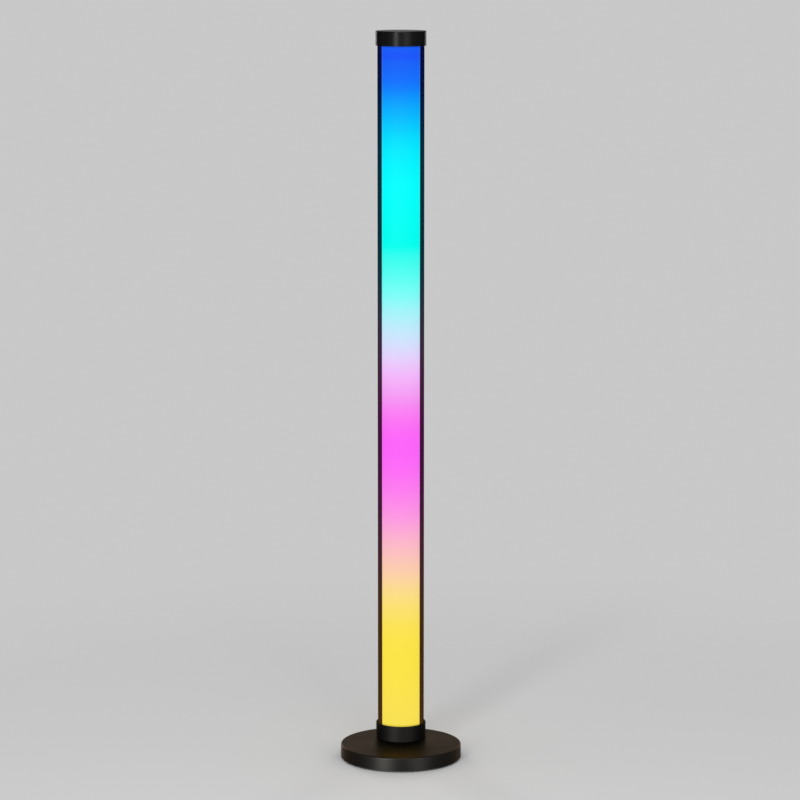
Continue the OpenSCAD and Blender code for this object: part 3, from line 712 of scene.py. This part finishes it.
# The other finishes: colour, roughness, and where they differ from a plain surface.
FINISHES = {
    "zinc_plating": ((0.62, 0.63, 0.64), 0.32, {"metallic": 1.0, "clouds": 120, "gloss": 0.1}),
    "milled_aluminium": ((0.72, 0.72, 0.73), 0.3, {"metallic": 1.0, "bump": 0.15,
                                                   "stretch": (1, 0.03, 1), "gloss": 0.08}),
    "black_oxide": ((0.06, 0.06, 0.065), 0.4, {"metallic": 1.0}),
    "plated_contact": ((0.75, 0.62, 0.34), 0.22, {"metallic": 1.0}),
    "cast_iron": ((0.09, 0.09, 0.09), 0.7, {"metallic": 0.4, "bump": 0.8, "grain": 350}),
    "pad_rubber": ((0.018, 0.018, 0.018), 0.82, {"specular": 0.3, "bump": 0.5, "grain": 600}),
    "seal_foam": ((0.05, 0.05, 0.055), 0.9, {"bump": 0.8, "grain": 700}),
    "jack_plastic": ((0.030, 0.030, 0.032), 0.32, MOULDED),
    "button_plastic": ((0.012, 0.012, 0.012), 0.42, MOULDED),
    "plunger_plastic": ((0.55, 0.55, 0.55), 0.4, MOULDED),
    "lead_vinyl": ((0.80, 0.80, 0.80), 0.45, MOULDED),
    "plug_nylon": ((0.86, 0.84, 0.76), 0.45, MOULDED),
    "chip_epoxy": ((0.02, 0.02, 0.022), 0.5, MOULDED),
    "board_green": ((0.03, 0.20, 0.07), 0.35, {}),
    "tape_white": ((0.85, 0.85, 0.83), 0.5, {}),
    "led_resin": ((0.92, 0.88, 0.62), 0.25, {}),
}


def finish_named(name):
    """Material of one of the finishes in the table."""
    shade, roughness, changes = FINISHES[name]
    return textured(name, shade, roughness, **changes)


# ---------- the pieces ----------


class LAMP_OT_make_base(Operator):
    """Make the base's coated shell and its ribbed pad"""

    bl_idname = "floor_lamp.make_base"
    bl_label = "Make base"

    groove_first = 74 * MM
    groove_step = 5 * MM
    groove_count = 4
    groove_depth = 0.7 * MM
    groove_half = 1.1 * MM
    groove_slope = 0.3 * MM
    pad_top_round = 0.3 * MM
    pad_foot_round = 0.8 * MM

    def execute(self, context):
        self.make_shell()
        self.make_pad()
        return {"FINISHED"}

    def make_shell(self):
        shape = settings()
        low, high = SHELL_Z
        wall = shape.shell_wall
        small = shape.small_edge
        shell = link_piece("coated_base_shell", turned_mesh([
            (0, high, 0),
            (SHELL_R, high, shape.shell_round),
            (SHELL_R, low, small),
            (SHELL_R - wall, low, small),
            (SHELL_R - wall, high - wall, shape.shell_round - wall),
            (0, high - wall, 0),
        ], 2 * shape.turn_steps))
        combined(shell, [rod(shape.bolt_hole, high - wall - OVER, high + OVER, spot)
                         for spot in stem_bolt_spots()], "DIFFERENCE")
        finish_piece(tidied(shell), LAMP, black_finish("coat"), "base_shell")

    def make_pad(self):
        shape = settings()
        low, high = PAD_Z
        deep = low + self.groove_depth
        half = self.groove_half
        slope = self.groove_slope
        corners = [(0, high, 0), (PAD_R, high, self.pad_top_round),
                   (PAD_R, low, self.pad_foot_round)]
        for number in reversed(range(self.groove_count)):
            radius = self.groove_first + number * self.groove_step
            corners += [(radius + half, low, slope), (radius + half - slope, deep, 0),
                        (radius - half + slope, deep, 0), (radius - half, low, slope)]
        corners.append((0, low, 0))
        pad = link_piece("ribbed_base_pad", turned_mesh(corners))
        combined(pad, [rod(shape.bolt_pocket, low - OVER, high + OVER, spot)
                       for spot in stem_bolt_spots()], "DIFFERENCE")
        finish_piece(tidied(pad), LAMP, finish_named("pad_rubber"), "base_pad")


class LAMP_OT_make_sleeves(Operator):
    """Make the two black cups that hold the tube: the collar and the cap"""

    bl_idname = "floor_lamp.make_sleeves"
    bl_label = "Make collar and cap"

    # Places of the board's posts from the tube's axis.
    board_spots = ((-12 * MM, -5 * MM), (12 * MM, -5 * MM), (-0.5 * MM, 31 * MM))
    # How far round the panel, and how far in front of it, its edges are rounded.
    panel_reach = 0.5 * MM
    panel_near = 0.1 * MM
    # Where the edges of a grub screw's hole lie, and how much they are rounded.
    grub_near = 0.3 * MM
    grub_reach = 3 * MM
    grub_round = 0.2 * MM

    def execute(self, context):
        self.make_collar()
        self.make_cap()
        return {"FINISHED"}

    def make_collar(self):
        shape = settings()
        low, high = COLLAR_Z
        small = shape.small_edge
        inside = COLLAR_R - shape.sleeve_wall
        # The lower end plate ends where the spine starts.
        flat_top = SPINE_Z[0] - END_PLATE - shape.collar_gap
        floor_top = low + shape.collar_floor
        panel_y = TUBE_Y + COLLAR_R - shape.panel_cut
        panel_inside = panel_y - shape.panel_wall
        collar = link_piece("black_collar", moved(turned_mesh([
            (0, low, 0),
            (COLLAR_R, low, small),
            (COLLAR_R, high, shape.collar_round),
            (inside, high, small),
            (inside, floor_top, 0),
            (0, floor_top, 0),
        ]), (0, TUBE_Y, 0)))
        added = [rod(shape.post_width, floor_top - OVER, BOARD_Z[0], spot)
                 for spot in self.post_spots()]
        added.append(self.thick_wall(inside + shape.sleeve_wall / 2, panel_inside - TUBE_Y,
                                     (floor_top - OVER, flat_top)))
        combined(collar, added, "UNION")
        half_panel = shape.panel_height / 2
        deep = shape.panel_wall + 2 * OVER
        combined(collar, [block((-COLLAR_R, panel_y, AXIS_Z - half_panel),
                                (COLLAR_R, TUBE_Y + 2 * COLLAR_R, AXIS_Z + half_panel))],
                 "DIFFERENCE")
        cuts = [moved(rod(hole, 0, deep), (across, panel_inside - OVER, AXIS_Z), TO_BACK)
                for across, hole in ((JACK_X, shape.inlet_hole),
                                     (BUTTON_X, shape.button_hole))]
        cuts += [rod(shape.bolt_hole, low - OVER, floor_top + OVER, spot)
                 for spot in stem_bolt_spots()]
        cuts += [rod(shape.post_bore, floor_top + OVER, BOARD_Z[0] + OVER, spot)
                 for spot in self.post_spots()]
        combined(collar, cuts, "DIFFERENCE")

        def round_the_panel(edge):
            centre = (edge.verts[0].co + edge.verts[1].co) / 2
            return (centre.y > panel_y - self.panel_near
                    and abs(centre.z - AXIS_Z) < half_panel + self.panel_reach)

        tidied(collar, small, chosen=round_the_panel)
        finish_piece(collar, LAMP, black_finish("collar"), "lower_collar")

    def post_spots(self):
        """Places of the board's posts."""
        return [(across, TUBE_Y + back) for across, back in self.board_spots]

    def thick_wall(self, radius, flat, heights):
        """Thick part of the collar's wall, flat on its inside, behind the panel."""
        mesh = bmesh.new()
        filled(mesh, [arc(mesh, flat, math.pi / 2, math.pi / 2),
                      arc(mesh, radius, math.asin(flat / radius), math.pi / 2)], "X")
        return drawn_up(mesh, heights)

    def make_cap(self):
        shape = settings()
        low, high = CAP_Z
        inside = CAP_R - shape.sleeve_wall
        cap = link_piece("black_cap", moved(turned_mesh([
            (0, high, 0),
            (CAP_R, high, shape.cap_round),
            (CAP_R, low, shape.small_edge),
            (inside, low, shape.small_edge),
            (inside, SEAL_Z[1], 0),
            (0, SEAL_Z[1], 0),
        ]), (0, TUBE_Y, 0)))
        hole = moved(rod(shape.grub_hole, -2 * CAP_R, 2 * CAP_R, steps=BORE_STEPS),
                     (0, TUBE_Y, low + shape.grub_rise), TO_SIDE)
        combined(cap, [hole], "DIFFERENCE")

        def round_a_grub_screw(edge):
            centre = (edge.verts[0].co + edge.verts[1].co) / 2
            return (abs(centre.x) > CAP_R - self.grub_near
                    and abs(centre.y - TUBE_Y) < self.grub_reach)

        tidied(cap, self.grub_round, chosen=round_a_grub_screw)
        finish_piece(cap, LAMP, black_finish("cap"), "top_cap")


class LAMP_OT_make_tube(Operator):
    """Make the tube: the spine with its side rails, and the two lit covers"""

    bl_idname = "floor_lamp.make_tube"
    bl_label = "Make tube"

    rail_edge = 0.25 * MM
    cover_edge = 0.2 * MM
    port_steps = 24

    def execute(self, context):
        self.make_spine()
        self.make_covers()
        return {"FINISHED"}

    def make_spine(self):
        shape = settings()
        half = shape.rail_angle
        rail_in = TUBE_R - shape.rail_wall
        tongue_out = rail_in - shape.slot_gap
        lip_out = tongue_out - shape.tongue_wall - shape.slot_gap
        lip_in = lip_out - shape.lip_wall
        slot_end = half - (shape.tongue_reach + shape.slot_gap) / tongue_out
        lip_end = slot_end - shape.lip_wall / lip_out
        web = shape.web_wall / 2
        port = shape.port_width / 2
        dip = math.asin(web / port)
        reach = port * math.cos(dip)
        mesh = bmesh.new()
        centre_point = mesh.verts.new((0, -web, 0))
        port_start = mesh.verts.new((shape.port_place - reach, -web, 0))
        port_end = swept(mesh, port_start, (shape.port_place, 0, 0), math.pi - 2 * dip,
                         self.port_steps)
        filled(mesh, [
            (centre_point, centre_point),
            (port_start, port_end),
            arc(mesh, rail_in, -math.asin(web / rail_in), -lip_end),
            arc(mesh, lip_in, -lip_end, -half),
            arc(mesh, lip_out, -half, -slot_end),
            arc(mesh, rail_in, -slot_end, -half),
            arc(mesh, TUBE_R, -half, 0),
        ], "YX")
        spine = link_piece("black_spine", drawn_up(mesh, SPINE_Z))
        combined(spine, [rod(shape.port_bore, SPINE_Z[0] - OVER, SPINE_Z[1] + OVER,
                             (side * shape.port_place, TUBE_Y), BORE_STEPS)
                         for side in (-1, 1)], "DIFFERENCE")
        tidied(spine, self.rail_edge, chosen=on_tube_face)
        finish_piece(spine, LAMP, black_anodising(), "spine")

    def make_covers(self):
        shape = settings()
        rail_in = TUBE_R - shape.rail_wall
        tongue_out = rail_in - shape.slot_gap
        front = -math.pi / 2
        edge_turn = -shape.rail_angle - shape.slot_gap / TUBE_R
        band_turn = edge_turn - shape.cover_band / TUBE_R
        tongue_turn = -shape.rail_angle + shape.tongue_reach / tongue_out
        for name, node, turn in (("lit_front_cover", "front_diffuser", 0),
                                 ("lit_rear_cover", "rear_diffuser", math.pi)):
            mesh = bmesh.new()
            filled(mesh, [
                arc(mesh, TUBE_R, front, edge_turn),
                arc(mesh, tongue_out, edge_turn, tongue_turn),
                arc(mesh, tongue_out - shape.tongue_wall, tongue_turn, band_turn),
                arc(mesh, TUBE_R - shape.cover_wall, band_turn, front),
            ], "X")
            moved(mesh, turn=Matrix.Rotation(turn, 4, "Z"))
            cover = link_piece(name, drawn_up(mesh, COVER_Z))
            tidied(cover, self.cover_edge, chosen=on_tube_face)
            finish_piece(cover, LAMP, lit_cover(), node)


class LAMP_OT_make_controls(Operator):
    """Make what shows at the back of the collar: the push button and the power inlet"""

    bl_idname = "floor_lamp.make_controls"
    bl_label = "Make controls"

    # The button's face: a rim round a dish, and the slope between them.
    rim = 0.8 * MM
    slope = 0.6 * MM
    slope_round = 0.8 * MM
    face_round = 0.5 * MM
    fine_round = 0.2 * MM

    def execute(self, context):
        self.make_button()
        soften_nodes((
            ("dc_jack", LAMP, "jack_black", "jack_plastic", 0.25),
            ("dc_jack_contact", LAMP, "contact_brass", "plated_contact", 0.15),
            ("button_switch", LAMP, "jack_black", "jack_plastic", 0.2),
            ("switch_plunger", BUTTON, "plunger_grey", "plunger_plastic", 0.15)))
        return {"FINISHED"}

    def make_button(self):
        shape = settings()
        flange = shape.button_flange
        radius = half_width("push_button") - flange
        start, face = BUTTON_Y
        reach = face - start
        button = link_piece("dished_push_button", moved(turned_mesh([
            (0, reach - shape.button_dish, 0),
            (radius - self.rim - self.slope, reach - shape.button_dish, self.slope_round),
            (radius - self.rim, reach, self.fine_round),
            (radius, reach, self.face_round),
            (radius, flange, self.fine_round),
            (radius + flange, flange, self.fine_round),
            (radius + flange, 0, self.fine_round),
            (0, 0, 0),
        ], FINE_STEPS), (BUTTON_X, start, AXIS_Z), TO_BACK))
        finish_piece(button, BUTTON, finish_named("button_plastic"),
                     "push_button")


class LAMP_OT_make_fasteners(Operator):
    """Make the bolts, screws and washers, with their edges rounded"""

    bl_idname = "floor_lamp.make_fasteners"
    bl_label = "Make fasteners"

    def execute(self, context):
        zinc = (LAMP, "zinc_steel", "zinc_plating")
        black = (LAMP, "black_steel", "black_oxide")
        soften_nodes((
            ("base_plate_screws", *zinc, 0.10), ("stem_washers", *zinc, 0.15),
            ("upper_end_screws", *zinc, 0.10), ("board_screws", *zinc, 0.08),
            ("stem_bolts", *black, 0.4), ("cap_grub_screws", *black, 0.12)))
        return {"FINISHED"}


class LAMP_OT_finish_inner_parts(Operator):
    """Finish the parts inside: the weight, plates, light tapes, leads and control board"""

    bl_idname = "floor_lamp.finish_inner_parts"
    bl_label = "Finish inner parts"

    finishes = {
        "cast_iron": ["base_weight"],
        "zinc_plating": ["base_bottom_plate", "lower_end_screws"],
        "seal_foam": ["cap_seal"],
        "milled_aluminium": ["lower_end_plate", "upper_end_plate"],
        "tape_white": ["front_led_tape", "rear_led_tape"],
        "led_resin": ["front_leds", "rear_leds"],
        "lead_vinyl": ["front_lead", "rear_lead"],
        "plug_nylon": ["lead_plugs"],
        "board_green": ["control_board"],
        "chip_epoxy": ["board_parts"],
    }

    def execute(self, context):
        for finish, nodes in self.finishes.items():
            for node in nodes:
                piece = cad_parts[node]
                piece.data.materials.clear()
                piece.data.materials.append(finish_named(finish))
        return {"FINISHED"}


class LAMP_OT_make_stage(Operator):
    """Make the plain floor, the soft lights and the camera"""

    bl_idname = "floor_lamp.make_stage"
    bl_label = "Make stage"

    # Name, turn from the front in degrees, height, distance, width, height of the box, power.
    softboxes = (
        ("left_softbox", -22, 1.35, 4.0, 0.55, 2.5, 60),
        ("right_softbox", 27, 1.35, 4.0, 2.0, 2.5, 30),
        ("back_left_softbox", -152, 1.35, 4.0, 0.55, 2.5, 40),
        ("back_right_softbox", 150, 1.35, 4.0, 1.0, 2.5, 32),
    )
    # Bright cards that show only as a shine, on the base's wall and along its front edge.
    # The two low ones stay under the base's top, which would mirror them to the back.
    cards = (
        ("low_left_card", -31, 0.012, 2.2, 0.4, 0.02, 70),
        ("low_right_card", 32, 0.012, 2.2, 0.4, 0.02, 28),
        ("high_front_card", -3, 2.1, 1.9, 0.9, 0.4, 34),
    )
    # A soft box above the lamp's front, which points at the foot of the base.
    top_place = Vector((0, -1.7, 2.3))
    top_size = (1.4, 0.5)
    top_power = 17
    floor_radius = 2.0
    floor_lap = 2 * MM
    fade_from = 0.4
    fade_to = 1.9
    floor_roughness = 0.9
    film_width = 36.0
    farthest_sight = 200.0

    def execute(self, context):
        self.make_floor(context.scene)
        self.make_lights(context.scene)
        self.make_world(context.scene)
        self.make_camera(context.scene)
        context.scene.view_settings.view_transform = "Standard"
        return {"FINISHED"}

    def make_floor(self, scene):
        """Round floor that fades into the backdrop, and is clear when seen from below.

        It is open under the pad, so that light reaches the pad's underside.
        """
        mesh = bmesh.new()
        for radius in (PAD_R - self.floor_lap, self.floor_radius):
            bmesh.ops.create_circle(mesh, segments=FINE_STEPS, radius=radius)
        bmesh.ops.bridge_loops(mesh, edges=mesh.edges[:])
        floor = link_piece("floor", mesh)
        if floor.data.polygons[0].normal.z < 0:
            floor.data.flip_normals()
        material = bpy.data.materials.new("plain_floor")
        material.use_nodes = True
        tree = material.node_tree
        shader = tree.nodes["Principled BSDF"]
        feed(shader, {"Base Color": (*scene.lamp_stage.floor_color, 1),
                      "Roughness": self.floor_roughness, "Specular IOR Level": 0.0})
        where = place(tree, "TexCoord", -900, 0)
        away = place(tree, "VectorMath", -700, 0, {0: where.outputs["Object"]},
                     operation="LENGTH")
        fade = place(tree, "MapRange", -500, 0, {
            "Value": away.outputs["Value"], "From Min": self.fade_from,
            "From Max": self.fade_to}, interpolation_type="SMOOTHERSTEP")
        below = place(tree, "NewGeometry", -500, -260)
        gone = place(tree, "Math", -300, -100,
                     {0: fade.outputs["Result"], 1: below.outputs["Backfacing"]},
                     operation="MAXIMUM")
        clear = place(tree, "BsdfTransparent", -100, -200)
        mix = place(tree, "MixShader", 100, 0, {
            "Fac": gone.outputs[0], 1: shader.outputs["BSDF"], 2: clear.outputs["BSDF"]})
        feed(tree.nodes["Material Output"], {"Surface": mix.outputs["Shader"]})
        floor.data.materials.append(material)

    def make_lights(self, scene):
        """Upright soft boxes and cards round the lamp, and a soft box above its front."""
        shine_only = [card[0] for card in self.cards]
        for name, degrees, height, distance, wide, tall, power in self.softboxes + self.cards:
            turn = math.radians(degrees)
            spot = Vector((distance * math.sin(turn), TUBE_Y - distance * math.cos(turn),
                           height))
            light = self.add_light(scene, name, spot, Vector((0, TUBE_Y, height)),
                                   (wide, tall), power)
            light.visible_diffuse = name not in shine_only
        self.add_light(scene, "top_softbox", self.top_place, Vector((0, 0, 0)), self.top_size,
                       self.top_power)

    def add_light(self, scene, name, spot, aim, size, power):
        """One soft box that points at a place."""
        light = bpy.data.lights.new(name, "AREA")
        light.shape = "RECTANGLE"
        light.size = size[0]
        light.size_y = size[1]
        light.energy = power
        holder = bpy.data.objects.new(name, light)
        holder.location = spot
        holder.rotation_euler = (aim - spot).to_track_quat("-Z", "Y").to_euler()
        holder.visible_camera = False
        scene.collection.objects.link(holder)
        return holder

    def make_world(self, scene):
        """Plain backdrop that also lights the lamp from all round."""
        world = bpy.data.worlds.new("plain_backdrop")
        world.use_nodes = True
        feed(world.node_tree.nodes["Background"],
             {"Color": (*scene.lamp_stage.backdrop_color, 1), "Strength": 1.0})
        scene.world = world

    def make_camera(self, scene):
        """Camera at the photograph's viewing angle."""
        stage = scene.lamp_stage
        camera = bpy.data.cameras.new("camera")
        camera.sensor_width = self.film_width
        camera.lens = stage.camera_lens
        camera.clip_end = self.farthest_sight
        holder = bpy.data.objects.new("camera", camera)
        holder.location = (stage.camera_side, -stage.camera_distance, stage.camera_height)
        holder.rotation_euler = (math.pi / 2 - stage.camera_pitch, 0, 0)
        scene.collection.objects.link(holder)
        scene.camera = holder


class LAMP_PT_panel(Panel):
    """Lists the operators that make the lamp"""

    bl_idname = "LAMP_PT_panel"
    bl_label = "Floor Lamp"
    bl_space_type = "VIEW_3D"
    bl_region_type = "UI"
    bl_category = "Floor Lamp"

    def draw(self, context):
        for maker in MAKERS:
            self.layout.operator(maker.bl_idname)


SETTINGS = (LampShape, LampFinish, LampStage)
MAKERS = (LAMP_OT_make_base, LAMP_OT_make_sleeves, LAMP_OT_make_tube, LAMP_OT_make_controls,
          LAMP_OT_make_fasteners, LAMP_OT_finish_inner_parts, LAMP_OT_make_stage)


def register():
    for item in SETTINGS + MAKERS + (LAMP_PT_panel,):
        bpy.utils.register_class(item)
    bpy.types.Scene.lamp_shape = PointerProperty(type=LampShape)
    bpy.types.Scene.lamp_finish = PointerProperty(type=LampFinish)
    bpy.types.Scene.lamp_stage = PointerProperty(type=LampStage)


def unregister():
    del bpy.types.Scene.lamp_stage
    del bpy.types.Scene.lamp_finish
    del bpy.types.Scene.lamp_shape
    for item in reversed(SETTINGS + MAKERS + (LAMP_PT_panel,)):
        bpy.utils.unregister_class(item)


def main():
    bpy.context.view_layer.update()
    register()
    for maker in MAKERS:
        getattr(bpy.ops.floor_lamp, maker.bl_idname.split(".")[1])()


if __name__ == "__main__":
    main()
